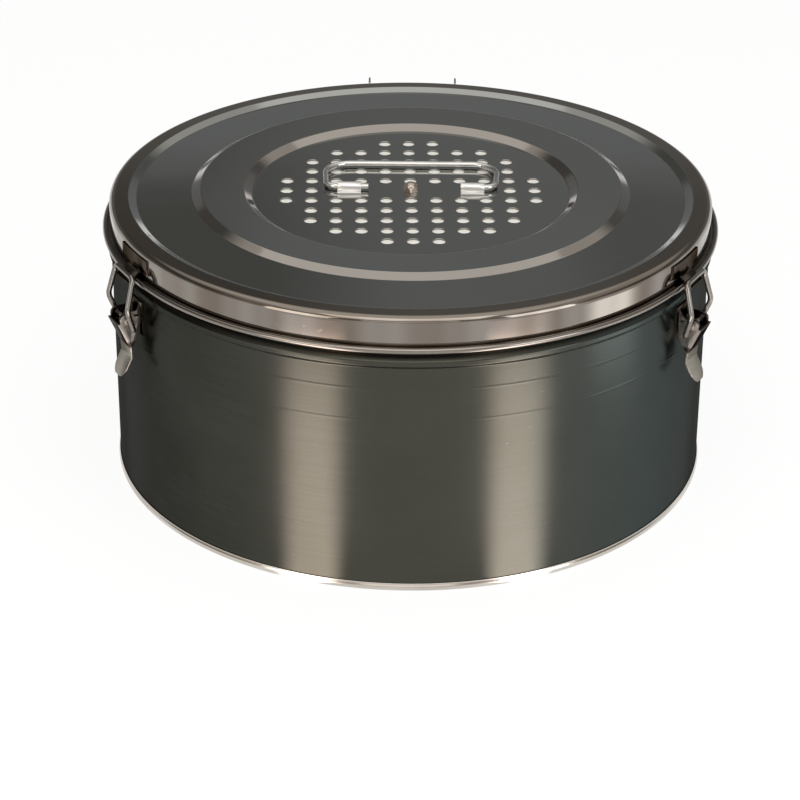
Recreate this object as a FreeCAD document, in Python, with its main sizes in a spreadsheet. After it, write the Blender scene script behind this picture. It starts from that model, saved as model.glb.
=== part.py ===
import FreeCAD, Part
import math
import os
from types import SimpleNamespace

import Sketcher

# A round steel sterilization container: a drum on a rolled foot, a hinged lid with a perforated
# filter panel and a folding handle, and two wire-hoop latches.
# Origin: centre of the foot's lower face. +Z is up, and the latches face the -Y side.

# Driving dimensions, in millimetres and degrees
SIZES = {
    # drum
    "inner_radius": 190.0,
    "wall_sheet": 1.0,
    "seam_height": 5.9,
    "seam_stand": 1.2,
    "rim_height": 177.2,
    "rim_roll": 1.5,
    "bead_drop": 27.5,
    "bead_tall": 7.1,
    "bead_stand": 2.1,
    "bead_bend": 1.2,
    "neck_taper": 1.5,
    "ridge_drop": 14.1,
    "ridge_pitch": 20.4,
    "ridge_stand": 0.4,
    "ridge_width": 1.4,
    # lid
    "lid_stand": 0.3,
    "lid_sheet": 1.0,
    "lid_play": 0.8,
    "lid_cover": 4.9,
    "lid_round": 4.0,
    "skirt_depth": 19.4,
    "curl_radius": 1.85,
    "curl_reach": 2.8,
    "rim_width": 12.3,
    "rim_rise": 0.3,
    "step_bend": 0.9,
    "first_step_run": 4.8,
    "first_step_drop": 2.4,
    "first_tread_width": 35.0,
    "tread_slope": 1.6,
    "second_step_run": 5.5,
    "second_step_rise": 3.0,
    "second_tread_width": 27.5,
    "third_step_run": 5.1,
    "third_step_drop": 3.6,
    "panel_drop": 2.1,
    "hole_pitch": 15.8,
    "hole_radius": 3.95,
    "panel_turn": 1.4,
    "gasket_width": 6.4,
    "gasket_side_gap": 0.4,
    "gasket_gap": 0.3,
    "gasket_bend": 2.5,
    # filter under the lid
    "holder_margin": 4.1,
    "holder_sheet": 1.0,
    "seal_width": 5.0,
    "seal_depth": 2.0,
    "cloth_margin": 1.0,
    "cloth_sheet": 0.6,
    "window_radius": 9.0,
    "stud_radius": 2.5,
    "stud_length": 20.0,
    "cap_flats": 9.0,
    "cap_hex_height": 3.2,
    "cap_height": 5.8,
    "washer_radius": 8.0,
    "washer_sheet": 1.0,
    "nut_radius": 5.0,
    "nut_height": 6.5,
    "wing_reach": 13.0,
    "wing_height": 11.0,
    "wing_sheet": 1.8,
    "thread_play": 0.06,
    # handle on the lid
    "handle_wire": 1.9,
    "handle_half_width": 55.0,
    "handle_taper": 1.1,
    "handle_reach": 37.7,
    "handle_bend": 16.0,
    "handle_lift": 2.6,
    "pivot_bend": 7.2,
    "stub_end": 26.8,
    "lug_centre": 39.2,
    "lug_width": 15.2,
    "lug_foot": 6.8,
    "lug_sheet": 1.0,
    "lug_play": 0.08,
    # latches, from the lever's pin
    "latch_turn": 60.7,
    "pin_reach": 10.0,
    "pin_drop": 25.7,
    "pin_radius": 1.5,
    "pin_head": 0.8,
    "pin_play": 0.05,
    "bracket_sheet": 1.0,
    "bracket_width": 17.6,
    "bracket_below": 12.0,
    "bracket_above": 10.2,
    "ear_span": 12.8,
    "ear_round": 4.6,
    "lever_sheet": 1.0,
    "lever_play": 0.4,
    "hump_rise": 3.6,
    "web_top_out": 6.4,
    "web_top_drop": 1.8,
    "web_low_out": -1.0,
    "web_low_drop": 19.0,
    "cheek_back": 1.9,
    "cheek_high_rise": 1.4,
    "cheek_low_drop": 9.6,
    "tongue_top_out": -1.7,
    "tongue_top_drop": 25.6,
    "tongue_out": 5.0,
    "tongue_drop": 38.8,
    "tongue_round": 7.0,
    "hoop_wire": 1.7,
    "hoop_bend": 4.0,
    "hoop_side_gap": 0.2,
    "hoop_foot_out": -3.2,
    "hoop_foot_drop": 7.1,
    "knee_out": 2.6,
    "knee_rise": 9.4,
    "knee_bow": 5.0,
    "bar_draw_in": 1.8,
    "bar_over": 4.1,
    "bar_rise": 3.5,
    # catches on the lid's skirt
    "catch_sheet": 1.1,
    "catch_width": 35.0,
    "catch_rise": 6.5,
    "catch_tall": 8.8,
    "hook_width": 16.0,
    "hook_slope": 35.0,
    "hook_clear": 0.25,
    "hook_reach": 4.6,
    "hook_lip": 1.8,
    # rear hinge
    "hinge_reach": 11.5,
    "hinge_drop": 7.7,
    "hinge_pin": 2.0,
    "hinge_head": 1.2,
    "barrel_wall": 1.2,
    "leaf_sheet": 1.2,
    "body_leaf_width": 58.0,
    "body_leaf_drop": 8.5,
    "body_leaf_tall": 22.5,
    "hinge_play": 0.5,
    "lid_leaf_rise": 3.7,
    "lid_leaf_tall": 12.6,
    "ear_top_drop": 1.2,
    "ear_top_in": 1.5,
    "hinge_ear_round": 4.5,
}


class Size:
    """A dimension with its number, for drawing, and its formula, for the link to the sheet."""

    def __init__(self, number, formula=None):
        self.number = float(number)
        self.formula = formula or f"({self.number!r})"

    def joined(self, sign, other, number):
        return Size(number, f"({self.formula} {sign} {other.formula})")

    def __add__(self, other):
        other = as_size(other)
        return self.joined("+", other, self.number + other.number)

    def __sub__(self, other):
        other = as_size(other)
        return self.joined("-", other, self.number - other.number)

    def __mul__(self, other):
        other = as_size(other)
        return self.joined("*", other, self.number * other.number)

    def __truediv__(self, other):
        other = as_size(other)
        return self.joined("/", other, self.number / other.number)

    def __rsub__(self, other):
        return as_size(other) - self

    def __neg__(self):
        return self * -1

    __radd__ = __add__
    __rmul__ = __mul__


def as_size(value):
    """The value as a Size."""
    return value if isinstance(value, Size) else Size(value)


def root(size):
    """The square root of a size."""
    return Size(math.sqrt(size.number), f"sqrt({size.formula})")


def chord_turn(width, radius):
    """The angle, in degrees, that a strip of this width covers on a cylinder of this radius."""
    return width / radius * (180 / math.pi)


doc = FreeCAD.newDocument("sterilization_container")
sheet = doc.addObject("Spreadsheet::Sheet", "Sizes")
for row, (alias, value) in enumerate(SIZES.items(), start=1):
    sheet.set(f"A{row}", alias)
    sheet.set(f"B{row}", str(value))
    sheet.setAlias(f"B{row}", alias)
doc.recompute()
at = SimpleNamespace(**{alias: Size(value, f"Sizes.{alias}") for alias, value in SIZES.items()})

# Shared places, worked out from the driving dimensions: radii first
wall_radius = at.inner_radius + at.wall_sheet
lid_radius = wall_radius + at.lid_stand
skirt_inside = lid_radius - at.lid_sheet
neck_radius = skirt_inside - at.lid_play
neck_inside = neck_radius - at.wall_sheet
seam_radius = wall_radius + at.seam_stand
curl_centre = lid_radius + at.curl_reach
first_step_radius = lid_radius - at.rim_width
first_inside = first_step_radius - at.first_step_run
second_step_radius = first_inside - at.first_tread_width
second_inside = second_step_radius - at.second_step_run
third_step_radius = second_inside - at.second_tread_width
third_inside = third_step_radius - at.third_step_run
holder_radius = third_inside - at.holder_margin
cloth_radius = holder_radius - at.seal_width - at.cloth_margin
pin_axis = wall_radius + at.pin_reach
hinge_axis = wall_radius + at.hinge_reach
barrel_radius = at.hinge_pin + at.barrel_wall

# Heights
lid_top = at.rim_height + at.lid_cover
lid_under = lid_top - at.lid_sheet
panel_top = lid_top - at.panel_drop
panel_under = panel_top - at.lid_sheet
first_tread = lid_top + at.rim_rise - at.first_step_drop
third_tread = panel_top + at.third_step_drop
cloth_under = panel_under - at.cloth_sheet
holder_under = cloth_under - at.holder_sheet
curl_height = lid_top - at.skirt_depth
bead_low = at.rim_height - at.bead_drop
high_ridge = bead_low - at.ridge_drop
low_ridge = high_ridge - at.ridge_pitch
pin_height = curl_height - at.pin_drop
hinge_height = curl_height - at.hinge_drop

# Widths that two pieces share
lever_span = at.ear_span + at.lever_play * 2 + at.lever_sheet * 2
lid_leaf_width = at.body_leaf_width + at.hinge_play * 2 + at.leaf_sheet * 2

pieces = []


def bind(item, field, size):
    """Link one field of a document object to the sheet."""
    item.setExpression(field, as_size(size).formula)


def piece(label):
    """A new body that becomes one sub-part."""
    body = doc.addObject("PartDesign::Body", label)
    body.Label = label
    pieces.append(body)
    return body


def plane(body, role):
    """One of the body's own origin planes."""
    return next(item for item in body.Origin.OriginFeatures if item.Role == role)


def new_sketch(body, role, lift=None):
    """An empty sketch on one of the body's origin planes, or lifted off it."""
    sketch = body.newObject("Sketcher::SketchObject", f"{body.Label}_sketch")
    sketch.AttachmentSupport = (plane(body, role), [""])
    sketch.MapMode = "FlatFace"
    if lift is not None:
        sketch.AttachmentOffset = FreeCAD.Placement(
            FreeCAD.Vector(0, 0, lift.number), FreeCAD.Rotation())
        bind(sketch, "AttachmentOffset.Base.z", lift)
    return sketch


def place_point(sketch, geometry, position, across, up):
    """Fix one point of a sketch by its two distances from the origin."""
    for kind, size in (("DistanceX", across), ("DistanceY", up)):
        index = sketch.addConstraint(Sketcher.Constraint(kind, geometry, position, size.number))
        bind(sketch, f"Constraints[{index}]", size)


def outline(body, role, corners, lift=None):
    """A closed outline through corners given as (across, up) or (across, up, bend radius)."""
    sketch = new_sketch(body, role, lift)
    sizes = [[as_size(value) for value in corner] for corner in corners]
    points = [FreeCAD.Vector(corner[0].number, corner[1].number, 0) for corner in sizes]
    count = len(points)
    before, after = [], []
    for i, corner in enumerate(sizes):
        toward_last = (points[i - 1] - points[i]).normalize()
        toward_next = (points[(i + 1) % count] - points[i]).normalize()
        radius = corner[2].number if len(corner) > 2 else 0
        run = radius / math.tan(toward_last.getAngle(toward_next) / 2)
        before.append(points[i] + toward_last * run)
        after.append(points[i] + toward_next * run)
    for i in range(count):
        sketch.addGeometry(Part.LineSegment(after[i], before[(i + 1) % count]), False)
    for i, corner in enumerate(sizes):
        last_line = (i - 1) % count
        if len(corner) < 3:
            sketch.addConstraint(Sketcher.Constraint("Coincident", last_line, 2, i, 1))
            place_point(sketch, i, 1, corner[0], corner[1])
            continue
        radius = corner[2].number
        turn = (points[i] - points[i - 1]).cross(points[(i + 1) % count] - points[i]).z
        side = 1 if turn > 0 else -1
        along = (points[i] - before[i]).normalize()
        centre = before[i] + FreeCAD.Vector(-along.y, along.x, 0) * (radius * side)
        ends = [before[i], after[i]] if side > 0 else [after[i], before[i]]
        angles = [math.atan2(end.y - centre.y, end.x - centre.x) for end in ends]
        circle = Part.Circle(centre, FreeCAD.Vector(0, 0, 1), radius)
        bend = sketch.addGeometry(Part.ArcOfCircle(circle, angles[0], angles[1]), False)
        corner_point = sketch.addGeometry(Part.Point(points[i]), True)
        first, second = (1, 2) if side > 0 else (2, 1)
        sketch.addConstraint(Sketcher.Constraint("PointOnObject", corner_point, 1, last_line))
        sketch.addConstraint(Sketcher.Constraint("PointOnObject", corner_point, 1, i))
        sketch.addConstraint(Sketcher.Constraint("Tangent", last_line, 2, bend, first))
        sketch.addConstraint(Sketcher.Constraint("Tangent", bend, second, i, 1))
        index = sketch.addConstraint(Sketcher.Constraint("Radius", bend, radius))
        bind(sketch, f"Constraints[{index}]", corner[2])
        place_point(sketch, corner_point, 1, corner[0], corner[1])
    return sketch


def circles(body, role, centres, radius, lift=None):
    """A sketch of equal circles at the given centres."""
    sketch = new_sketch(body, role, lift)
    first = None
    for across, up in centres:
        across, up = as_size(across), as_size(up)
        centre = FreeCAD.Vector(across.number, up.number, 0)
        circle = Part.Circle(centre, FreeCAD.Vector(0, 0, 1), radius.number)
        ring = sketch.addGeometry(circle, False)
        place_point(sketch, ring, 3, across, up)
        if first is None:
            first = ring
            index = sketch.addConstraint(Sketcher.Constraint("Radius", ring, radius.number))
            bind(sketch, f"Constraints[{index}]", radius)
        else:
            sketch.addConstraint(Sketcher.Constraint("Equal", first, ring))
    return sketch


def box(low, high):
    """Corners of a rectangle from its low corner to its high corner."""
    return [low, (high[0], low[1]), high, (low[0], high[1])]


def spin(body, sketch, turn=None):
    """Turn an outline on the XZ plane round the upright axis, all the way or by a centred turn."""
    feature = body.newObject("PartDesign::Revolution", f"{body.Label}_spin")
    feature.Profile = sketch
    feature.ReferenceAxis = (sketch, ["V_Axis"])
    if turn is None:
        feature.Angle = 360
    else:
        feature.Midplane = True
        bind(feature, "Angle", turn)
    sketch.Visibility = False
    return feature


def groove(body, sketch):
    """Turn an outline away, all the way round the upright axis."""
    feature = body.newObject("PartDesign::Groove", f"{body.Label}_groove")
    feature.Profile = sketch
    feature.ReferenceAxis = (sketch, ["V_Axis"])
    feature.Angle = 360
    return feature


def pad(body, sketch, length, centred=True):
    """Thicken an outline, to both sides of its plane unless told otherwise."""
    feature = body.newObject("PartDesign::Pad", f"{body.Label}_pad")
    feature.Profile = sketch
    feature.Midplane = centred
    bind(feature, "Length", length)
    return feature


def pocket(body, sketch, width=None):
    """Cut an outline away, right through or over a centred width."""
    feature = body.newObject("PartDesign::Pocket", f"{body.Label}_pocket")
    feature.Profile = sketch
    feature.Midplane = True
    if width is None:
        feature.Type = "ThroughAll"
    else:
        bind(feature, "Length", width)
    return feature


def turn_about_z(body, angle):
    """Place a body by turning it round the upright axis."""
    body.Placement = FreeCAD.Placement(
        FreeCAD.Vector(), FreeCAD.Rotation(FreeCAD.Vector(0, 0, 1), as_size(angle).number))
    bind(body, "Placement.Rotation.Angle", angle)


def bent_wire(points, bends, wire_radius):
    """A round wire along straight runs joined by tangent bends, with a flat cut at each end."""
    edges = []
    start = points[0]
    for i in range(1, len(points) - 1):
        corner = points[i]
        back = (points[i - 1] - corner).normalize()
        on = (points[i + 1] - corner).normalize()
        run = bends[i - 1] / math.tan(back.getAngle(on) / 2)
        inward = (back + on).normalize()
        reach = bends[i - 1] / math.sin(back.getAngle(on) / 2) - bends[i - 1]
        bend = Part.Arc(corner + back * run, corner + inward * reach, corner + on * run)
        edges.append(Part.LineSegment(start, corner + back * run).toShape())
        edges.append(bend.toShape())
        start = corner + on * run
    edges.append(Part.LineSegment(start, points[-1]).toShape())
    path = Part.Wire(edges)
    cut = Part.Wire(Part.makeCircle(wire_radius, points[0], points[1] - points[0]))
    return path.makePipeShell([cut], True, True)


def wire_piece(label, shape, placement):
    """A sub-part whose shape is a wire bent in space."""
    item = doc.addObject("Part::Feature", label)
    item.Label = label
    item.Shape = shape
    item.Placement = placement
    pieces.append(item)


# Drum wall: straight sheet with two fine ridges, a stop bead and a neck that the lid closes over
def wall_side(offset, is_outside):
    """The wall's outline on one side, from the foot to the neck."""
    straight = wall_radius - offset
    corners = [(straight, at.wall_sheet)]
    if is_outside:
        for height in (low_ridge, high_ridge):
            corners.append((straight, height - at.ridge_width / 2))
            corners.append((straight + at.ridge_stand, height))
            corners.append((straight, height + at.ridge_width / 2))
    bulge = straight + at.bead_stand
    bead_high = bead_low + at.bead_tall
    corners.append((straight, bead_low, at.bead_bend))
    corners.append((bulge, bead_low + at.bead_stand, at.bead_bend))
    corners.append((bulge, bead_high - at.bead_stand, at.bead_bend))
    corners.append((neck_radius - offset, bead_high + at.neck_taper, at.bead_bend))
    return corners


drum_wall = piece("drum_wall")
rim_foot = at.rim_height - at.rim_roll
outside = wall_side(0, True)
inside = wall_side(at.wall_sheet, False)
spin(drum_wall, outline(drum_wall, "XZ_Plane", (
    outside + [(neck_radius, rim_foot), (neck_inside, rim_foot)] + inside[::-1])))
spin(drum_wall, circles(drum_wall, "XZ_Plane", [(neck_radius - at.rim_roll, rim_foot)], at.rim_roll))

# Base: a flat floor whose edge is folded up round the foot of the wall
base_plate = piece("base_plate")
spin(base_plate, outline(base_plate, "XZ_Plane", [
    (0, 0),
    (seam_radius, 0, 1.6),
    (seam_radius, at.seam_height, 0.5),
    (wall_radius, at.seam_height),
    (wall_radius, at.wall_sheet),
    (0, at.wall_sheet)]))

# Lid: one pressed sheet, stepped down, up and down again to the filter panel, with a curled edge
lid_shell = piece("lid_shell")
second_foot = first_tread + at.tread_slope
lid_outside = [
    (lid_radius, lid_top, at.lid_round),
    (first_step_radius, lid_top + at.rim_rise, at.step_bend),
    (first_inside, first_tread, at.step_bend),
    (second_step_radius, second_foot, at.step_bend),
    (second_inside, second_foot + at.second_step_rise, at.step_bend),
    (third_step_radius, third_tread, at.step_bend),
    (third_inside, panel_top, at.step_bend),
]
lid_inside = [(skirt_inside, lid_under, at.lid_round - at.lid_sheet)]
lid_inside += [(across, up - at.lid_sheet, bend) for across, up, bend in lid_outside[1:]]
flange_top = curl_height + at.lid_sheet / 2
spin(lid_shell, outline(lid_shell, "XZ_Plane", (
    [(lid_radius, flange_top)] + lid_outside + [(0, panel_top), (0, panel_under)]
    + lid_inside[::-1]
    + [(skirt_inside, flange_top - at.lid_sheet), (curl_centre, flange_top - at.lid_sheet),
       (curl_centre, flange_top)])))
spin(lid_shell, circles(lid_shell, "XZ_Plane", [(curl_centre, curl_height)], at.curl_radius))


# Steam holes on a square grid, left out of the middle row where the handle and the nut sit
ROW_REACH = (5, 5, 4, 4, 3, 1)
BARE_REACH = 3
grid = []
for row in range(-5, 6):
    reach = ROW_REACH[abs(row)]
    for column in range(-reach, reach + 1):
        if row != 0 or abs(column) > BARE_REACH:
            grid.append((at.hole_pitch * column, at.hole_pitch * row))
steam_holes = circles(lid_shell, "XY_Plane", grid, at.hole_radius)
bind(steam_holes, "AttachmentOffset.Rotation.Angle", at.panel_turn)
pocket(lid_shell, steam_holes)
pocket(lid_shell, circles(lid_shell, "XY_Plane", [(0, 0)], at.stud_radius))

# Lid gasket: a flat silicone ring in the corner under the lid's edge, pressed on the drum's rim
lid_gasket = piece("lid_gasket")
gasket_radius = skirt_inside - at.gasket_side_gap
gasket_inside = gasket_radius - at.gasket_width
gasket_under = at.rim_height + at.gasket_gap
under_slope = at.rim_rise / (skirt_inside - first_step_radius)
spin(lid_gasket, outline(lid_gasket, "XZ_Plane", [
    (gasket_inside, gasket_under),
    (gasket_radius, gasket_under),
    (gasket_radius, lid_under + under_slope * at.gasket_side_gap, at.gasket_bend),
    (gasket_inside, lid_under + under_slope * (skirt_inside - gasket_inside))]))

# Filter: a round cloth under the panel, a holder plate with windows, and its silicone seal
filter_cloth = piece("filter_cloth")
spin(filter_cloth, outline(filter_cloth, "XZ_Plane", box(
    (at.stud_radius, cloth_under), (cloth_radius, panel_under))))

filter_seal = piece("filter_seal")
seal_under = panel_under - at.seal_depth
spin(filter_seal, outline(filter_seal, "XZ_Plane", [
    (holder_radius - at.seal_width, seal_under),
    (holder_radius, seal_under),
    (holder_radius, panel_under),
    (holder_radius - at.seal_width, panel_under)]))

filter_holder = piece("filter_holder")
holder_step = holder_radius - at.seal_width
spin(filter_holder, outline(filter_holder, "XZ_Plane", [
    (at.stud_radius, holder_under),
    (holder_step - at.holder_sheet, holder_under),
    (holder_step, seal_under - at.holder_sheet),
    (holder_radius, seal_under - at.holder_sheet),
    (holder_radius, seal_under),
    (holder_step, seal_under),
    (holder_step - at.holder_sheet, cloth_under),
    (at.stud_radius, cloth_under)]))
windows = []
for count, share in ((6, 0.34), (12, 0.72)):
    ring_radius = cloth_radius * share
    for step in range(count):
        angle = 2 * math.pi * (step + 0.5) / count
        windows.append((ring_radius * math.cos(angle), ring_radius * math.sin(angle)))
pocket(filter_holder, circles(filter_holder, "XY_Plane", windows, at.window_radius))

# Filter fixing: a stud through the lid's centre, a domed nut above and a washer and wing nut below
filter_stud = piece("filter_stud")
stud_top = panel_top + at.cap_hex_height
stud_low = panel_top - at.stud_length
spin(filter_stud, outline(filter_stud, "XZ_Plane", [
    (0, stud_low),
    (at.stud_radius * 0.8, stud_low),
    (at.stud_radius, stud_low + at.stud_radius * 0.2),
    (at.stud_radius, stud_top),
    (0, stud_top)]))

cap_nut = piece("cap_nut")
cap_corner = at.cap_flats / math.sqrt(3)
hexagon = []
for step in range(6):
    angle = math.pi / 3 * step - math.pi / 2
    hexagon.append((cap_corner * math.cos(angle), cap_corner * math.sin(angle)))
pad(cap_nut, outline(cap_nut, "XY_Plane", hexagon, panel_top), at.cap_hex_height, False)
dome_radius = at.cap_flats * 0.44
dome_height = at.cap_height - at.cap_hex_height
spin(cap_nut, outline(cap_nut, "XZ_Plane", [
    (0, stud_top),
    (dome_radius, stud_top),
    (dome_radius, stud_top + dome_height, dome_height * 0.9),
    (0, stud_top + dome_height)]))
groove(cap_nut, outline(cap_nut, "XZ_Plane", box((0, panel_top), (at.stud_radius, stud_top))))

filter_washer = piece("filter_washer")
washer_under = holder_under - at.washer_sheet
spin(filter_washer, outline(filter_washer, "XZ_Plane", box(
    (at.stud_radius, washer_under), (at.washer_radius, holder_under))))

# Wing nut: a turned boss with two rounded wings, free to turn on the stud
filter_nut = piece("filter_nut")
nut_top = washer_under - at.thread_play
nut_bore = at.stud_radius + at.thread_play
spin(filter_nut, outline(filter_nut, "XZ_Plane", [
    (nut_bore, nut_top - at.nut_height),
    (at.nut_radius * 0.8, nut_top - at.nut_height),
    (at.nut_radius, nut_top - at.nut_height * 0.4, at.nut_radius * 0.2),
    (at.nut_radius, nut_top),
    (nut_bore, nut_top)]))
wing_low = nut_top - at.wing_height
wing_root = nut_bore + at.wing_sheet / 2
for side in (1, -1):
    pad(filter_nut, outline(filter_nut, "XZ_Plane", [
        (wing_root * side, nut_top - at.nut_height * 0.15),
        (wing_root * side, nut_top - at.nut_height * 0.9),
        (at.nut_radius * side, nut_top - at.nut_height * 0.9, at.wing_sheet * 0.8),
        (at.wing_reach * 0.6 * side, wing_low, at.wing_sheet),
        (at.wing_reach * side, wing_low, at.wing_reach * 0.2),
        (at.wing_reach * side, wing_low + at.wing_height * 0.6, at.wing_reach * 0.2)]),
        at.wing_sheet)

# Handle: one bent wire, lying back on the lid, whose ends turn inward through two lugs
pivot_height = panel_top + at.handle_lift
leg_top = (at.handle_half_width + at.handle_taper).number
leg_foot = (at.handle_half_width - at.handle_taper).number
right_stub = (at.lug_centre - at.lug_width / 2 + at.lug_sheet / 2).number
handle_path = [
    FreeCAD.Vector(-at.stub_end.number, 0, 0),
    FreeCAD.Vector(-leg_foot, 0, 0),
    FreeCAD.Vector(-leg_top, at.handle_reach.number, 0),
    FreeCAD.Vector(leg_top, at.handle_reach.number, 0),
    FreeCAD.Vector(leg_foot, 0, 0),
    FreeCAD.Vector(right_stub, 0, 0)]
pivot_bend, handle_bend = at.pivot_bend.number, at.handle_bend.number
wire_piece("handle", bent_wire(
    handle_path, [pivot_bend, handle_bend, handle_bend, pivot_bend], at.handle_wire.number),
    FreeCAD.Placement(FreeCAD.Vector(0, 0, pivot_height.number), FreeCAD.Rotation()))

# Handle lugs: strips rolled over the wire, with a flat foot before and behind
lug_bore = at.handle_wire + at.lug_play
lug_roll = lug_bore + at.lug_sheet
for name, side in (("left", -1), ("right", 1)):
    lug = piece(f"handle_lug_{name}")
    foot_top = panel_top + at.lug_sheet
    pad(lug, outline(lug, "YZ_Plane", [
        (-at.lug_foot, panel_top),
        (-lug_bore, panel_top),
        (-lug_bore, pivot_height + lug_bore, lug_bore * 0.96),
        (lug_bore, pivot_height + lug_bore, lug_bore * 0.96),
        (lug_bore, panel_top),
        (at.lug_foot, panel_top),
        (at.lug_foot, foot_top),
        (lug_roll, foot_top, 0.5),
        (lug_roll, pivot_height + lug_roll, lug_roll * 0.96),
        (-lug_roll, pivot_height + lug_roll, lug_roll * 0.96),
        (-lug_roll, foot_top, 0.5),
        (-at.lug_foot, foot_top)]), at.lug_width)
    lug.Placement.Base.x = (at.lug_centre * side).number
    bind(lug, "Placement.Base.x", at.lug_centre * side)


# Latches: each is drawn with +X pointing straight out of the drum, then turned to its side
def rivet(label, axis, height, radius, grip, head):
    """A pin along Y whose heads stand just outside the pieces that it grips."""
    pin = piece(label)
    pad(pin, circles(pin, "XZ_Plane", [(axis, height)], radius + head), grip + head * 2)
    shank = circles(pin, "XZ_Plane", [(axis, height)], radius)
    edge = sketch_ring(shank, axis, height, radius + head * 2)
    pocket(pin, edge, grip)
    return pin


def sketch_ring(sketch, across, up, radius):
    """Add an outer circle to a sketch that already holds the inner one."""
    centre = FreeCAD.Vector(across.number, up.number, 0)
    circle = Part.Circle(centre, FreeCAD.Vector(0, 0, 1), radius.number)
    ring = sketch.addGeometry(circle, False)
    sketch.addConstraint(Sketcher.Constraint("Coincident", 0, 3, ring, 3))
    index = sketch.addConstraint(Sketcher.Constraint("Radius", ring, radius.number))
    bind(sketch, f"Constraints[{index}]", radius)
    return sketch


def clear_ridge(body):
    """Press the wall's upper ridge into the back of a plate that lies over it."""
    groove(body, outline(body, "XZ_Plane", [
        (wall_radius - 1, high_ridge - at.ridge_width / 2),
        (wall_radius, high_ridge - at.ridge_width / 2),
        (wall_radius + at.ridge_stand, high_ridge),
        (wall_radius, high_ridge + at.ridge_width / 2),
        (wall_radius - 1, high_ridge + at.ridge_width / 2)]))


def latch_bracket(label):
    """A bent plate on the wall with two ears that carry the lever's pin."""
    bracket = piece(label)
    plate_out = wall_radius + at.bracket_sheet
    root_reach = wall_radius + at.bracket_sheet / 2
    plate_low = pin_height - at.bracket_below
    plate_high = pin_height + at.bracket_above
    nose = pin_axis + at.ear_round
    ear_high = pin_height + at.ear_round
    ear_low = pin_height - at.ear_round
    spin(bracket, outline(bracket, "XZ_Plane", box(
        (wall_radius, plate_low), (plate_out, plate_high))),
        chord_turn(at.bracket_width, wall_radius))
    pad(bracket, outline(bracket, "XZ_Plane", [
        (root_reach, ear_low),
        (nose, ear_low, at.ear_round * 0.97),
        (nose, ear_high, at.ear_round * 0.97),
        (plate_out + at.ear_round / 2, ear_high, at.bracket_sheet),
        (root_reach, plate_high - at.bracket_sheet)]), at.ear_span)
    pocket(bracket, outline(bracket, "XZ_Plane", box(
        (plate_out, plate_low), (nose + at.bracket_sheet, plate_high))),
        at.ear_span - at.bracket_sheet * 2)
    pocket(bracket, circles(bracket, "XZ_Plane", [(pin_axis, pin_height)], at.pin_radius))
    clear_ridge(bracket)
    return bracket


def latch_lever(label):
    """A folded lever: a sloping web between two shield-shaped cheeks, and a tongue to pull."""
    lever = piece(label)
    web_top_out = pin_axis + at.web_top_out
    web_low_out = pin_axis + at.web_low_out
    web_top = pin_height - at.web_top_drop
    web_low = pin_height - at.web_low_drop
    cheek_back = wall_radius + at.cheek_back
    cheek_high = pin_height + at.cheek_high_rise
    cheek_low = pin_height - at.cheek_low_drop
    hump = pin_height + at.hump_rise
    web_thick = at.lever_sheet * 1.1
    lean = (web_top_out - web_low_out) / (web_top - web_low)
    above = at.hump_rise * 2
    below = at.lever_sheet * 4
    pad(lever, outline(lever, "XZ_Plane", [
        (web_top_out, web_top),
        (web_top_out - web_thick * 1.6, web_top),
        (web_top_out - web_thick * 1.6, hump, at.hump_rise * 0.9),
        (pin_axis - at.hump_rise * 0.9, hump, at.hump_rise * 0.7),
        (pin_axis - at.hump_rise * 1.5, cheek_high, at.lever_sheet),
        (cheek_back, cheek_high, at.lever_sheet * 0.8),
        (cheek_back, cheek_low, at.lever_sheet * 5),
        (web_low_out - web_thick, web_low - at.lever_sheet * 0.6),
        (web_low_out, web_low)]), lever_span)
    pocket(lever, outline(lever, "XZ_Plane", [
        (web_low_out - web_thick - lean * below, web_low - below),
        (web_top_out - web_thick + lean * above, web_top + above),
        (wall_radius - below, web_top + above),
        (wall_radius - below, web_low - below)]), lever_span - at.lever_sheet * 2)
    tongue_out = pin_axis + at.tongue_out
    tongue_bend = pin_axis + at.tongue_top_out
    tongue_top = pin_height - at.tongue_top_drop
    tongue_low = pin_height - at.tongue_drop
    tongue_end = tongue_low - at.lever_sheet * 0.48
    pad(lever, outline(lever, "XZ_Plane", [
        (web_low_out, web_low),
        (web_low_out - web_thick, web_low),
        (tongue_bend - at.lever_sheet, tongue_top - at.lever_sheet * 0.3, at.lever_sheet * 1.5),
        (tongue_out - at.lever_sheet * 0.88, tongue_end),
        (tongue_out, tongue_low),
        (tongue_bend, tongue_top, at.lever_sheet * 2.5)]), lever_span)
    half = lever_span / 2
    beyond = half + at.lever_sheet
    foot = tongue_end - at.lever_sheet
    shoulder = tongue_end + at.tongue_round * 1.2
    pocket(lever, outline(lever, "YZ_Plane", [
        (-beyond, shoulder), (-beyond, foot), (beyond, foot), (beyond, shoulder),
        (half, shoulder), (half, tongue_end, at.tongue_round),
        (-half, tongue_end, at.tongue_round), (-half, shoulder)]))
    pocket(lever, circles(
        lever, "XZ_Plane", [(pin_axis, pin_height)], at.pin_radius + at.pin_play))
    pocket(lever, circles(
        lever, "XZ_Plane", [(pin_axis + at.hoop_foot_out, pin_height - at.hoop_foot_drop)],
        at.hoop_wire + at.pin_play))
    return lever


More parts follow.
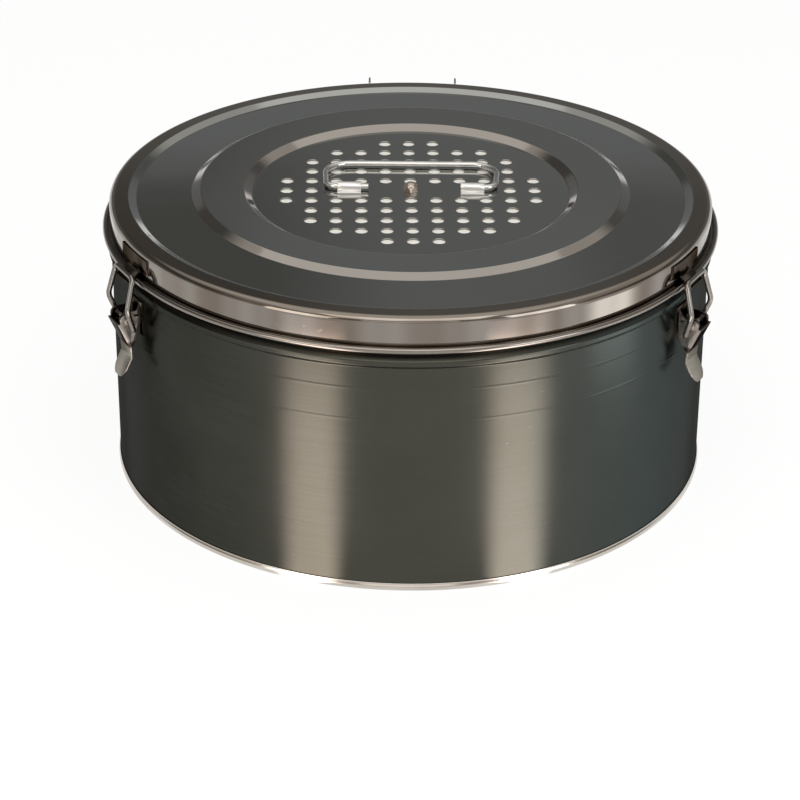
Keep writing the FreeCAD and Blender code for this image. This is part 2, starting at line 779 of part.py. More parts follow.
def hoop_shape():
    """The latch hoop: a bar, two bowed legs and two feet turned in through the lever's cheeks."""
    foot_end = lever_span / 2 - at.lever_sheet * 2
    foot_half = lever_span / 2 + at.hoop_wire + at.hoop_side_gap
    knee_half = foot_half + at.knee_bow
    foot_out = pin_axis + at.hoop_foot_out
    foot_height = pin_height - at.hoop_foot_drop
    half = [
        (foot_out, foot_end, foot_height),
        (foot_out, foot_half, foot_height),
        (pin_axis + at.knee_out, knee_half, pin_height + at.knee_rise),
        (curl_centre + at.bar_over, knee_half - at.bar_draw_in, curl_height + at.bar_rise)]
    half = [tuple(size.number for size in point) for point in half]
    path = [FreeCAD.Vector(out, -across, up) for out, across, up in half]
    path += [FreeCAD.Vector(out, across, up) for out, across, up in half[::-1]]
    bend = at.hoop_bend.number
    bends = [bend * 0.65, bend * 2, bend, bend, bend * 2, bend * 0.65]
    return bent_wire(path, bends, at.hoop_wire.number)


def lid_catch(label):
    """A plate spot-welded on the lid's skirt, whose tongue reaches over the curl as a hook."""
    catch = piece(label)
    plate_out = lid_radius + at.catch_sheet
    plate_low = curl_height + at.catch_rise
    plate_high = plate_low + at.catch_tall
    tongue_top = plate_low + at.catch_sheet
    spin(catch, outline(catch, "XZ_Plane", box(
        (lid_radius, plate_low), (plate_out, plate_high))),
        chord_turn(at.catch_width, lid_radius))
    slope = math.radians(at.hook_slope.number)
    away = at.curl_radius + at.hook_clear
    touch_across = curl_centre + away * math.sin(slope)
    touch_up = curl_height + away * math.cos(slope)
    back = touch_across - lid_radius
    hook_bend = touch_up + back * math.tan(slope)
    ledge = curl_centre + at.hook_reach
    ledge_low = touch_up - (ledge - touch_across) * math.tan(slope)
    lip = ledge + at.hook_lip
    thick = at.catch_sheet
    pad(catch, outline(catch, "XZ_Plane", [
        (lid_radius, tongue_top),
        (lid_radius, hook_bend, thick),
        (ledge, ledge_low, thick * 1.5),
        (lip, ledge_low + thick * 0.3),
        (lip, ledge_low + thick * 1.3),
        (ledge + thick * 0.3, ledge_low + thick, thick),
        (plate_out, hook_bend + thick * 0.5, thick * 1.5),
        (plate_out, tongue_top)]), at.hook_width)
    groove(catch, outline(catch, "XZ_Plane", box(
        (lid_radius - at.hook_width, curl_height), (lid_radius, plate_high))))
    return catch


for name, side in (("left", -1), ("right", 1)):
    turn = at.latch_turn * side - 90
    grip = lever_span + at.pin_play * 4
    turn_about_z(latch_bracket(f"latch_bracket_{name}"), turn)
    turn_about_z(rivet(
        f"latch_pin_{name}", pin_axis, pin_height, at.pin_radius, grip, at.pin_head), turn)
    turn_about_z(latch_lever(f"latch_lever_{name}"), turn)
    turn_about_z(lid_catch(f"lid_catch_{name}"), turn)
    upright = FreeCAD.Rotation(FreeCAD.Vector(0, 0, 1), turn.number)
    wire_piece(f"latch_hoop_{name}", hoop_shape(), FreeCAD.Placement(FreeCAD.Vector(), upright))

# Rear hinge: a leaf with a rolled barrel on the drum, a leaf with two ears on the lid, and a pin
rear = Size(90)
body_leaf = piece("hinge_leaf_drum")
leaf_out = wall_radius + at.leaf_sheet
leaf_top = hinge_height - at.body_leaf_drop
leaf_low = leaf_top - at.body_leaf_tall
barrel_low = hinge_height - barrel_radius
behind = wall_radius - at.hinge_reach
spin(body_leaf, outline(body_leaf, "XZ_Plane", box(
    (wall_radius, leaf_low), (leaf_out, leaf_top))),
    chord_turn(at.body_leaf_width, wall_radius))
pad(body_leaf, outline(body_leaf, "XZ_Plane", [
    (behind, leaf_top - at.leaf_sheet * 2),
    (leaf_out, leaf_top - at.leaf_sheet * 1.2, at.leaf_sheet),
    (hinge_axis, barrel_low),
    (hinge_axis, barrel_low + at.leaf_sheet * 0.9),
    (leaf_out, leaf_top, at.leaf_sheet),
    (behind, leaf_top)]), at.body_leaf_width)
pad(body_leaf, circles(body_leaf, "XZ_Plane", [(hinge_axis, hinge_height)], barrel_radius),
    at.body_leaf_width)
pocket(body_leaf, circles(body_leaf, "XZ_Plane", [(hinge_axis, hinge_height)], at.hinge_pin))
groove(body_leaf, outline(body_leaf, "XZ_Plane", box(
    (behind - at.hinge_reach, leaf_low), (wall_radius, hinge_height))))
clear_ridge(body_leaf)
turn_about_z(body_leaf, rear)

lid_leaf = piece("hinge_leaf_lid")
half_outside = lid_leaf_width / 2
half_inside = half_outside - at.leaf_sheet
lid_leaf_low = curl_height + at.lid_leaf_rise
lid_leaf_high = lid_leaf_low + at.lid_leaf_tall
spin(lid_leaf, outline(lid_leaf, "XZ_Plane", box(
    (lid_radius, lid_leaf_low), (lid_radius + at.leaf_sheet, lid_leaf_high))),
    chord_turn(lid_leaf_width, lid_radius))
ear_root = root(lid_radius * lid_radius - half_outside * half_outside) + at.leaf_sheet / 2
ear_out = hinge_axis + at.hinge_ear_round
ear_in = hinge_axis - at.hinge_ear_round
ear_bottom = hinge_height - at.hinge_ear_round
ear_top = lid_top - at.ear_top_drop
ear_corners = [
    (ear_root, lid_leaf_low),
    (ear_in, lid_leaf_low, at.leaf_sheet),
    (ear_in, ear_bottom, at.hinge_ear_round * 0.97),
    (ear_out, ear_bottom, at.hinge_ear_round * 0.97),
    (ear_out, lid_leaf_low + at.hinge_ear_round, at.hinge_ear_round),
    (hinge_axis - at.ear_top_in, ear_top, at.leaf_sheet),
    (ear_root + at.leaf_sheet, ear_top, at.leaf_sheet * 0.8),
    (ear_root, lid_leaf_high - at.leaf_sheet)]
for lift in (half_inside, -half_outside):
    pad(lid_leaf, outline(lid_leaf, "XZ_Plane", ear_corners, lift), at.leaf_sheet, False)
pocket(lid_leaf, circles(
    lid_leaf, "XZ_Plane", [(hinge_axis, hinge_height)], at.hinge_pin + at.pin_play))
turn_about_z(lid_leaf, rear)
turn_about_z(rivet(
    "hinge_pin", hinge_axis, hinge_height, at.hinge_pin, lid_leaf_width + at.pin_play * 4,
    at.hinge_head), rear)

# Build, check and save every sub-part
doc.recompute()
for item in doc.Objects:
    if "Invalid" in item.State or "Error" in item.State:
        raise RuntimeError(f"{item.Label} did not build: {item.State}")
os.makedirs("parts", exist_ok=True)
for item in pieces:
    shape = item.Shape
    if shape.isNull() or not shape.isValid():
        raise RuntimeError(f"{item.Label} has no valid shape")
    shape.exportStep(f"parts/{item.Label}.step")
    corners = shape.BoundBox
    print(f"{item.Label}: {len(shape.Solids)} solid, {shape.Volume / 1000:.2f} cm3, "
          f"z {corners.ZMin:.1f} to {corners.ZMax:.1f}")
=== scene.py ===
import math

import bmesh
import bpy
import numpy as np
from mathutils import Matrix


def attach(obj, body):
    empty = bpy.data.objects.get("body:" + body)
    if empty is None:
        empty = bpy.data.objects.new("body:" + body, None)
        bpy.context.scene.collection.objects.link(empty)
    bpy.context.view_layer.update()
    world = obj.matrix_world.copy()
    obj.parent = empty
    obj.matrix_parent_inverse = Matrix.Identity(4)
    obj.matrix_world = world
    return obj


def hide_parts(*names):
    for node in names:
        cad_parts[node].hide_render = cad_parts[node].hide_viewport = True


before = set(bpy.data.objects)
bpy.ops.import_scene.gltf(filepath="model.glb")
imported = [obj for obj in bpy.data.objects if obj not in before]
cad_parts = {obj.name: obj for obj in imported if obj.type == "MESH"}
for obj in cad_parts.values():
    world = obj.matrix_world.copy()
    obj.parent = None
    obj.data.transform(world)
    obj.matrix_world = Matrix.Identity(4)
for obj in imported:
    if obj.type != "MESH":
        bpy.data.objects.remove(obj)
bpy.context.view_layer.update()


# Drum wall.
# A sheet of stainless steel, rolled into a tube and welded, with two fine ridges, a bead that
# stops the lid, and a drawn-in neck whose edge is rolled inward.
def bend_corners(corners, turn_step=math.radians(9), near=0.3):
    """A line whose corners are rounded: each corner (x, ..., bend radius) becomes an arc tangent
    to both of its runs, with its centre on the line that halves the corner's angle. A long run
    gets a point near each end, which keeps it flat between its bends."""
    points = [np.array(corner[:-1], float) for corner in corners]
    line = [points[0]]
    for last, corner, after, bend in zip(
            points, points[1:], points[2:], [corner[-1] for corner in corners[1:-1]]):
        back = (last - corner) / np.linalg.norm(last - corner)
        on = (after - corner) / np.linalg.norm(after - corner)
        half_angle = math.acos(np.clip(back @ on, -1, 1)) / 2
        if bend == 0 or math.pi / 2 - half_angle < 1e-6:
            line.append(corner)
            continue
        inward = (back + on) / np.linalg.norm(back + on)
        across = (on - back) / np.linalg.norm(on - back)
        centre = corner + inward * bend / math.sin(half_angle)
        sweep = math.pi / 2 - half_angle
        steps = max(2, math.ceil(2 * sweep / turn_step))
        turn = np.linspace(-sweep, sweep, steps + 1)[:, None]
        line.extend(centre + bend * (np.sin(turn) * across - np.cos(turn) * inward))
    line.append(points[-1])
    held = [line[0]]
    for start, end in zip(line, line[1:]):
        length = np.linalg.norm(end - start)
        if length > 4 * near:
            step = (end - start) * near / length
            held += [start + step, end - step]
        held.append(end)
    return np.array(held)


def arc(centre, radius, start, end, steps=24):
    """Points on a circle: centre + radius (cos a, sin a), with a from start to end in degrees."""
    turn = np.radians(np.linspace(start, end, steps + 1))
    return np.array(centre) + radius * np.stack([np.cos(turn), np.sin(turn)], -1)


def grid_faces(rows, columns, loops=(False, False)):
    """The faces of a grid of points: each point with its neighbours in the next row and column.
    A looped direction joins its last line of points to its first."""
    index = np.arange(rows * columns).reshape(rows, columns)
    if loops[0]:
        index = np.vstack([index, index[:1]])
    if loops[1]:
        index = np.hstack([index, index[:, :1]])
    return np.stack([index[:-1, :-1], index[1:, :-1], index[1:, 1:], index[:-1, 1:]],
                    -1).reshape(-1, 4)


def piece(name, body, points, faces):
    """A smooth mesh from points in millimetres and faces, riding on a body."""
    mesh = bpy.data.meshes.new(name)
    mesh.from_pydata((np.asarray(points) / 1000).tolist(), [], faces)
    mesh.polygons.foreach_set("use_smooth", [True] * len(mesh.polygons))
    mesh.set_sharp_from_angle(angle=math.radians(40))
    item = bpy.data.objects.new(name, mesh)
    bpy.context.scene.collection.objects.link(item)
    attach(item, body)
    return item


def turned(profile, angles):
    """A profile (radius, height) turned round the upright axis: x = r cos a, y = r sin a. The
    grid's rows follow the angle and its columns the profile."""
    around = np.stack([np.cos(angles), np.sin(angles)], -1)
    flat = profile[None, :, :1] * around[:, None, :]
    height = np.broadcast_to(profile[None, :, 1:], flat.shape[:2] + (1,))
    return np.concatenate([flat, height], -1)


def full_turn(sides):
    """Equal angles all the way round."""
    return np.linspace(0, 2 * math.pi, sides, endpoint=False)


def ring(name, body, profile, sides=360):
    """A closed ring: a closed profile, counterclockwise, turned all the way round."""
    return piece(name, body, turned(profile, full_turn(sides)).reshape(-1, 3),
                 grid_faces(sides, len(profile), (True, True)).tolist())


class Value:
    """A number that varies over a surface: Python's operators add its Math nodes."""

    def __init__(self, finish, socket):
        self.finish = finish
        self.socket = socket

    def math(self, operation, other=None, swapped=False):
        """One Math node on this value, or on this value and another one."""
        values = [self] if other is None else [other, self] if swapped else [self, other]
        return self.finish.node("ShaderNodeMath", {"operation": operation}, values)

    def __add__(self, other):
        return self.math("ADD", other)

    def __sub__(self, other):
        return self.math("SUBTRACT", other)

    def __rsub__(self, other):
        return self.math("SUBTRACT", other, True)

    def __mul__(self, other):
        return self.math("MULTIPLY", other)

    def __truediv__(self, other):
        return self.math("DIVIDE", other)

    __radd__ = __add__
    __rmul__ = __mul__


class Nodes:
    """A node tree that is written as expressions on values."""

    def __init__(self, tree):
        self.tree = tree

    def node(self, kind, settings=None, values=(), output=0):
        """One node: its settings first, then the value or the link of each socket."""
        node = self.tree.nodes.new(kind)
        for field, setting in (settings or {}).items():
            setattr(node, field, setting)
        pairs = values.items() if isinstance(values, dict) else enumerate(values)
        for socket, value in pairs:
            if isinstance(value, Value):
                self.tree.links.new(value.socket, node.inputs[socket])
            else:
                node.inputs[socket].default_value = value
        return Value(self, node.outputs[output])

    def place(self):
        """The point on the surface, in metres, in the part's own frame."""
        return self.node("ShaderNodeTexCoord", output=3)

    def axes(self, point):
        """The three coordinates of a point or direction."""
        split = self.node("ShaderNodeSeparateXYZ", values=[point])
        return [Value(self, output) for output in split.socket.node.outputs]

    def vector(self, x, y, z):
        """A point or direction from its three coordinates."""
        return self.node("ShaderNodeCombineXYZ", values=[x, y, z])

    def noise(self, point, scale, detail=2.0, roughness=0.5):
        """Soft noise from 0 to 1 at a point."""
        return self.node("ShaderNodeTexNoise", values={
            "Vector": point, "Scale": scale, "Detail": detail, "Roughness": roughness})

    def spread(self, value, low, high, to_low=0.0, to_high=1.0):
        """The value's part between low and high, smoothly carried to a new range."""
        return self.node("ShaderNodeMapRange", {"interpolation_type": "SMOOTHSTEP"}, [
            value, low, high, to_low, to_high])

    def fade(self, value, low, high, left=0.0):
        """A share that is 1 below low and falls smoothly to what is left above high."""
        return self.spread(value, low, high, 1.0, left)

    def blend(self, share, first, second):
        """A colour between two: the second one's share is a value from 0 to 1."""
        colours = [value if isinstance(value, Value) else (*value, 1)
                   for value in (first, second)]
        return self.node("ShaderNodeMix", {"data_type": "RGBA"}, {
            0: share, 6: colours[0], 7: colours[1]}, output=2)


class Finish(Nodes):
    """A material on one Principled shader, whose constant values are set on its own sockets."""

    def __init__(self, name, colour, **constants):
        self.material = bpy.data.materials.new(name)
        self.material.use_nodes = True
        super().__init__(self.material.node_tree)
        self.shader = self.tree.nodes["Principled BSDF"]
        self.shader.inputs["Base Color"].default_value = (*colour, 1)
        for socket, value in constants.items():
            self.shader.inputs[socket.replace("_", " ")].default_value = value

    def feed(self, socket, value):
        """Let a varying value drive one socket of the shader."""
        self.tree.links.new(value.socket, self.shader.inputs[socket])

    def relief(self, height, distance):
        """Fine relief from a height, fed to the shader's normal."""
        self.feed("Normal", self.node("ShaderNodeBump", values={
            "Strength": 1.0, "Distance": distance, "Height": height}))

    def mix(self, share, other):
        """Show another shader in place of this one, by a share from 0 to 1."""
        mixed = self.node("ShaderNodeMixShader", values=[
            share, Value(self, self.shader.outputs[0]), other])
        self.tree.links.new(mixed.socket, self.tree.nodes["Material Output"].inputs["Surface"])


def dress(item, finish, slot=None):
    """Put a finish on a new piece, with its record slot, or on a carried-over CAD node."""
    if slot:
        item.data.materials.append(finish.material)
    for holder in item.material_slots:
        holder.material = finish.material


def drawn_lines(finish, around=3.0, along=900.0):
    """Fine lines that run round the drum: noise stretched along the angle. It changes quickly
    with the height, and on the lid with the distance from the axis."""
    x, y, z = finish.axes(finish.place())
    reach = (x * x + y * y).math("SQRT")
    return finish.noise(finish.vector(
        y.math("ARCTAN2", x) * around, (z + reach) * along, 0.0), 1.0, 4.0, 0.7)


# Pieces are measured in millimetres. Materials and the studio are measured in metres.
SHEET = 1.0
WALL_RADIUS, NECK_RADIUS, BEAD_RADIUS = 191.0, 189.5, 193.1
RIDGES, RIDGE_STAND, RIDGE_REACH = (115.2, 135.6), 0.10, 1.0
BEAD_LOW, BEAD_HIGH, BEAD_FLANK, BEAD_STEP, WALL_BEND = 149.7, 156.2, 2.1, 1.5, 1.2
RIM_CENTRE, RIM_ROLL = (188.0, 175.7), 1.5
WALL_LEFT_SHADE, WALL_MIDDLE_REFLECTION = (0.026, 0.027, 0.022), (0.058, 0.058, 0.046)
WALL_RIGHT_REFLECTION, WALL_INSIDE = (0.050, 0.064, 0.062), (0.26, 0.26, 0.245)
WALL_WORN, WALL_FLECK, WALL_EDGE_SHADE = (0.10, 0.098, 0.09), (0.3, 0.3, 0.29), (0.028, 0.031, 0.028)


def wall_line(inset):
    """The wall's line from foot to neck, moved in from its outer face."""
    face, bulge, neck = WALL_RADIUS - inset, BEAD_RADIUS - inset, NECK_RADIUS - inset
    line = [(face, 1.0, 0)]
    for ridge in RIDGES:
        line += [(face, ridge - RIDGE_REACH, 0.5), (face + RIDGE_STAND, ridge, 0.5),
                 (face, ridge + RIDGE_REACH, 0.5)]
    line += [(face, BEAD_LOW, WALL_BEND), (bulge, BEAD_LOW + BEAD_FLANK, WALL_BEND),
             (bulge, BEAD_HIGH - BEAD_STEP, WALL_BEND),
             (neck, BEAD_HIGH + BEAD_FLANK, WALL_BEND), (neck, RIM_CENTRE[1], 0)]
    return bend_corners(line)


wall = ring("wall", "drum", np.vstack([
    wall_line(0)[:-1], arc(RIM_CENTRE, RIM_ROLL, 0, 330), wall_line(SHEET)[::-1]]))
wall_steel = Finish("wall_steel", (0.06, 0.06, 0.05), Metallic=1.0, Anisotropic=0.5,
                    Anisotropic_Rotation=0.25, Specular_Tint=(0.5, 0.5, 0.5, 1))
x, y, _ = wall_steel.axes(wall_steel.place())
lines = drawn_lines(wall_steel)
clouds = wall_steel.noise(wall_steel.place(), 14.0, 3.0, 0.55)
specks = wall_steel.noise(wall_steel.place(), 800.0, 1.0, 0.4)
# The outer face is painted near-black all round, which stands in for dark reflections. It is
# darker to the left as painted shade, and bluish to the right as a painted reflection.
tone = wall_steel.blend(wall_steel.spread(x, -0.175, -0.02), WALL_LEFT_SHADE, WALL_MIDDLE_REFLECTION)
tone = wall_steel.blend(wall_steel.spread(x, 0.04, 0.17), tone, WALL_RIGHT_REFLECTION)

# The inside, whose faces look toward the drum's axis, has a lighter tone, without the outer
# face's painted dark.
face_x, face_y, _ = wall_steel.axes(wall_steel.node("ShaderNodeNewGeometry", output=1))
inside = wall_steel.fade(x * face_x + y * face_y, -0.01, 0.01)
tone = wall_steel.blend(inside, tone, WALL_INSIDE)
worn = wall_steel.spread(clouds * 0.5 + lines * 0.5, 0.3, 0.7, 0.0, 0.25)
fleck = wall_steel.spread(specks, 0.77, 0.82, 0.0, 0.25)
wall_steel.feed("Base Color", wall_steel.blend(
    fleck, wall_steel.blend(worn, tone, WALL_WORN), WALL_FLECK))
wall_steel.feed("Roughness", (lines + clouds - 1.0) * 0.05 + 0.25)

# The outer face is painted darker where it turns away from the camera: a painted shade along its
# edges, drawn by a near-black matte shader.
facing = wall_steel.node("ShaderNodeLayerWeight", values={"Blend": 0.5}, output=1)
edge_shade = wall_steel.node("ShaderNodeBsdfDiffuse", values={"Color": (*WALL_EDGE_SHADE, 1)})
wall_steel.mix(wall_steel.spread(facing, 0.55, 0.85, 0.0, 0.95) * (1 - inside), edge_shade)
dress(wall, wall_steel, "drum_steel")
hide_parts("drum_wall")


# Base.
# A flat floor of the same sheet, whose edge is folded up round the wall's foot and pressed into
# a narrow bright bead.
def capped(name, body, grid):
    """A round body from a grid whose rows run round the axis. Its first and its last line of
    points are each closed by one face."""
    index = np.arange(grid[..., 0].size).reshape(grid.shape[:2])
    faces = grid_faces(*index.shape, (True, False)).tolist()
    faces += [index[::-1, 0].tolist(), index[:, -1].tolist()]
    return piece(name, body, grid.reshape(-1, 3), faces)


def round_steel(name, dark, light, roughness, grain):
    """Rolled sheet steel: drawn lines that run round the drum, and faint cloudy wear."""
    steel = Finish(name, dark, Metallic=1.0)
    lines = drawn_lines(steel)
    clouds = steel.noise(steel.place(), 14.0, 3.0, 0.55)
    steel.feed("Base Color", steel.blend(
        steel.spread(clouds * 0.5 + lines * 0.5, 0.35, 0.65), dark, light))
    steel.feed("Roughness", (lines + clouds - 1.0) * grain + roughness)
    return steel


SEAM_RADIUS, SEAM_TOP, ROLL_TOP, FLAT_REACH = 192.2, 5.6, 4.2, 60
base = capped("base", "drum", turned(bend_corners([
    (FLAT_REACH, 0, 0), (SEAM_RADIUS - 0.9, 0, 0.8), (SEAM_RADIUS, 1.3, 1.6),
    (SEAM_RADIUS, 2.9, 1.6), (SEAM_RADIUS - 0.75, ROLL_TOP, 0.3),
    (SEAM_RADIUS - 0.5, ROLL_TOP + 0.6, 0.4), (WALL_RADIUS + 0.05, SEAM_TOP, 0.3),
    (WALL_RADIUS, SHEET, 0), (FLAT_REACH, SHEET, 0)]), full_turn(360)))
bright_steel = round_steel("bright_steel", (0.50, 0.46, 0.41), (0.66, 0.62, 0.57), 0.16, 0.06)
dress(base, bright_steel, "drum_steel")
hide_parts("base_plate")

# Lid.
# One pressed sheet of stainless steel: a skirt with a curled lower edge, a rounded rim, three
# shallow steps toward the middle, and a flat round panel with 82 punched steam holes.
LID_RADIUS, LID_TOP, PANEL_TOP, PANEL_EDGE = 191.3, 182.1, 180.0, 97.0
CURL_CENTRE, CURL_RADIUS = (194.1, 162.7), 1.85
SKIRT_FOOT, RIM_BEND, STEP_BEND = CURL_CENTRE[1] + 1.2, 4.2, 1.2
STEPS = ((179.0, 182.4), (174.2, 180.0), (139.2, 181.6), (133.7, 184.6), (106.2, 183.6),
         (101.1, 180.0))
HOLE_PITCH, HOLE_RADIUS, PANEL_TURN = 15.8, 3.95, math.radians(1.4)
ROW_REACH, BARE_REACH, HOLE_SIDES = (5, 5, 4, 4, 3, 1), 3, 32
HOLE_EDGE = ((0.50, 0.0), (0.30, 0.0), (0.13, -0.04), (0.04, -0.13), (0.0, -0.30),
             (0.0, -SHEET))


def lid_line(inset):
    """The lid's line from its skirt to the panel, moved in from its outer face."""
    steps = [(radius, height - inset, STEP_BEND) for radius, height in STEPS]
    return bend_corners([
        (LID_RADIUS - inset, SKIRT_FOOT, 0),
        (LID_RADIUS - inset, LID_TOP - inset, RIM_BEND - inset),
        *steps, (PANEL_EDGE, PANEL_TOP - inset, 0)])


def square_border(count):
    """Where rays at equal angles leave a unit square round its centre, and the rays."""
    ray = np.stack([np.cos(full_turn(count)), np.sin(full_turn(count))], -1)
    return ray / (2 * np.abs(ray).max(-1, keepdims=True)), ray


border, ray = square_border(HOLE_SIDES)
cells = np.array([(column, row) for row in range(1 - len(ROW_REACH), len(ROW_REACH))
                  for column in range(-ROW_REACH[abs(row)], ROW_REACH[abs(row)] + 1)])
is_bare = (cells[:, 1] == 0) & (np.abs(cells[:, 0]) <= BARE_REACH)
spots = (cells[:, None, :] + border[None]).round(6)


def raised(flat, height):
    """Points in the plane, lifted to a height."""
    return np.concatenate([flat, np.full(flat.shape[:-1] + (1,), height)], -1)


# Each cell is a square round one hole: a ring of points on its border, rings down the hole's
# rounded edge, and the border again on the underside.
square = cells[:, None, :] * HOLE_PITCH + border[None] * HOLE_PITCH
rings = [raised(square, PANEL_TOP)]
for stand, drop in HOLE_EDGE:
    rings.append(raised(cells[:, None, :] * HOLE_PITCH + ray[None] * (HOLE_RADIUS + stand),
                        PANEL_TOP + drop))
rings.append(raised(square, PANEL_TOP - SHEET))
rings = np.stack(rings, 2)
pierced = rings[~is_bare]
cell_faces = grid_faces(HOLE_SIDES, pierced.shape[2], (True, False))
cell_size = HOLE_SIDES * pierced.shape[2]
shifts = np.arange(len(pierced))[:, None, None] * cell_size
lid_points = [pierced.reshape(-1, 3)]
lid_faces = (cell_faces[None] + shifts).reshape(-1, 4).tolist()
bare = np.stack([raised(square[is_bare], PANEL_TOP),
                 raised(square[is_bare][:, ::-1], PANEL_TOP - SHEET)], 1)
bare = bare.reshape(-1, HOLE_SIDES, 3)
start = len(lid_points[0])
lid_points.append(bare.reshape(-1, 3))
lid_faces += (start + np.arange(bare.shape[0] * HOLE_SIDES).reshape(-1, HOLE_SIDES)).tolist()

# The outline of all the cells is a set of stairs. A point of it is shared by fewer cells than
# one that lies inside. Its angles are those of the whole turned lid.
corner = np.abs(np.abs(border).sum(-1) - 1) < 1e-6
found, first, count = np.unique(
    spots.reshape(-1, 2), axis=0, return_index=True, return_counts=True)
shared = np.where(np.tile(corner, len(cells))[first], 4, 2)
stairs = found[count < shared] * HOLE_PITCH
stair_angles = np.arctan2(stairs[:, 1], stairs[:, 0])
stairs = stairs[np.argsort(stair_angles)]
stair_angles = np.sort(stair_angles)
curl = arc(CURL_CENTRE, CURL_RADIUS, -164.3, 164.3, 32)
flange = bend_corners([(LID_RADIUS - SHEET, SKIRT_FOOT, 0),
                       (LID_RADIUS - SHEET, CURL_CENTRE[1] - 0.5, 0.9), (*curl[0], 0)])
shoulder = bend_corners([(*curl[-1], 0), (LID_RADIUS, CURL_CENTRE[1] + 0.5, 0.4),
                         (LID_RADIUS, SKIRT_FOOT, 0)])
lid_profile = np.vstack([lid_line(SHEET)[::-1], flange[1:-1], curl, shoulder[1:-1], lid_line(0)])
lid_grid = turned(lid_profile, stair_angles)
lid_grid = np.concatenate([raised(stairs, PANEL_TOP - SHEET)[:, None], lid_grid,
                           raised(stairs, PANEL_TOP)[:, None]], 1)
start = sum(len(block) for block in lid_points)
lid_points.append(lid_grid.reshape(-1, 3))
lid_faces += (grid_faces(*lid_grid.shape[:2], (True, False)) + start).tolist()
lid_points = np.vstack(lid_points)
merged, place_of = np.unique(lid_points.round(4), axis=0, return_inverse=True)
place_of = place_of.reshape(-1)
lid_faces = [place_of[face].tolist() for face in lid_faces]
turn = np.array([[math.cos(PANEL_TURN), math.sin(PANEL_TURN), 0],
                 [-math.sin(PANEL_TURN), math.cos(PANEL_TURN), 0], [0, 0, 1]])
lid = piece("lid", "lid", merged @ turn, lid_faces)

# The lid's tones, and the reach in metres over which each one starts or ends. The panel has the
# sheet's own tone. The bands, the rim and the curl are painted in warmer and darker tones, as
# painted reflections.
PANEL_TONES, PANEL_REACH = ((0.35, 0.355, 0.34), (0.40, 0.405, 0.39)), (0.095, 0.104)
BAND_REFLECTION_TONES = (0.32, 0.295, 0.27), (0.38, 0.35, 0.32)
INNER_BAND, OUTER_BAND = (0.1005, 0.1013, 0.1062, 0.107), (0.1335, 0.1341, 0.139, 0.1396)
RIM_REFLECTION_TONE, RIM_REACH = (0.27, 0.235, 0.20), (0.1785, 0.1800)
SKIRT_REFLECTION_TONES, SKIRT_REACH = ((0.175, 0.145, 0.12), (0.27, 0.245, 0.22)), (0.1893, 0.1908)
CURL_REFLECTION_TONE, CURL_REACH = (0.24, 0.215, 0.19), (0.1917, 0.1925)
HOLE_SHADE_TONE, HOLE_HEIGHT, HOLES_REACH = (0.24, 0.22, 0.195), (0.17955, 0.1798), (0.094, 0.095)
lid_steel = Finish("lid_steel", (0.2, 0.2, 0.2), Metallic=1.0)
x, y, z = lid_steel.axes(lid_steel.place())
reach = (x * x + y * y).math("SQRT")
lines = drawn_lines(lid_steel, 2.0, 500.0)
clouds = lid_steel.noise(lid_steel.place(), 9.0, 3.0, 0.5)
specks = lid_steel.noise(lid_steel.place(), 420.0, 1.0, 0.4)
# Broad patches by angle round the lid, which paint reflections on the skirt.
patches = lid_steel.noise(
    lid_steel.vector(y.math("ARCTAN2", x) * 7.0, 0.0, 0.0), 1.0, 1.0, 0.5)
bands = (lid_steel.spread(reach, *INNER_BAND[:2]) * lid_steel.fade(reach, *INNER_BAND[2:])
         + lid_steel.spread(reach, *OUTER_BAND[:2]) * lid_steel.fade(reach, *OUTER_BAND[2:]))
# The bands, the rim and the curl get their painted reflection tones over the panel's own tone.
metal = lid_steel.blend(bands, lid_steel.blend(clouds, *PANEL_TONES),
                        lid_steel.blend(clouds, *BAND_REFLECTION_TONES))
metal = lid_steel.blend(lid_steel.spread(reach, *RIM_REACH), metal, RIM_REFLECTION_TONE)
# The skirt is painted in broad dark-brown and pale patches round the lid: painted reflections of
# the room.
metal = lid_steel.blend(lid_steel.spread(reach, *SKIRT_REACH), metal,
                        lid_steel.blend(lid_steel.spread(patches, 0.3, 0.7), *SKIRT_REFLECTION_TONES))
on_curl = lid_steel.spread(reach, *CURL_REACH)
metal = lid_steel.blend(on_curl, metal, CURL_REFLECTION_TONE)
# The punched hole walls are painted darker than the panel, as painted shade in the holes.
punched = lid_steel.fade(z, *HOLE_HEIGHT) * lid_steel.fade(reach, *HOLES_REACH)
lid_steel.feed("Base Color", lid_steel.blend(punched, metal, HOLE_SHADE_TONE))
lid_steel.feed("Roughness", lid_steel.spread(reach, *PANEL_REACH, 0.03, 0.06)
               + on_curl * 0.1 + lines * 0.04 + lid_steel.spread(specks, 0.72, 0.77, 0.0, 0.12))
lid_steel.relief(lid_steel.noise(lid_steel.place(), 16.0, 1.0, 0.4), 0.0002)
dress(lid, lid_steel, "lid_steel")
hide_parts("lid_shell")

# Lid gasket.
# A soft ring of silicone rubber that is pressed into the lid's rim and seals on the drum's edge.
GASKET_LINE = ((186, 177.5, 0), (189.9, 177.5, 0.8), (189.9, 181.0, 2.4),
               (183.5, 181.1, 0.5), (183.5, 177.5, 0.8), (185.9, 177.5, 0))
gasket = ring("gasket", "lid", bend_corners(GASKET_LINE))
rubber = Finish("rubber", (0.62, 0.60, 0.56), Specular_IOR_Level=0.35)
haze = rubber.noise(rubber.place(), 60.0, 3.0)
rubber.feed("Base Color", rubber.blend(haze, (0.58, 0.56, 0.52), (0.66, 0.64, 0.60)))
rubber.feed("Roughness", haze * 0.15 + 0.42)
rubber.relief(rubber.noise(rubber.place(), 900.0, 2.0), 0.00005)
dress(gasket, rubber, "silicone")
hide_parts("lid_gasket")

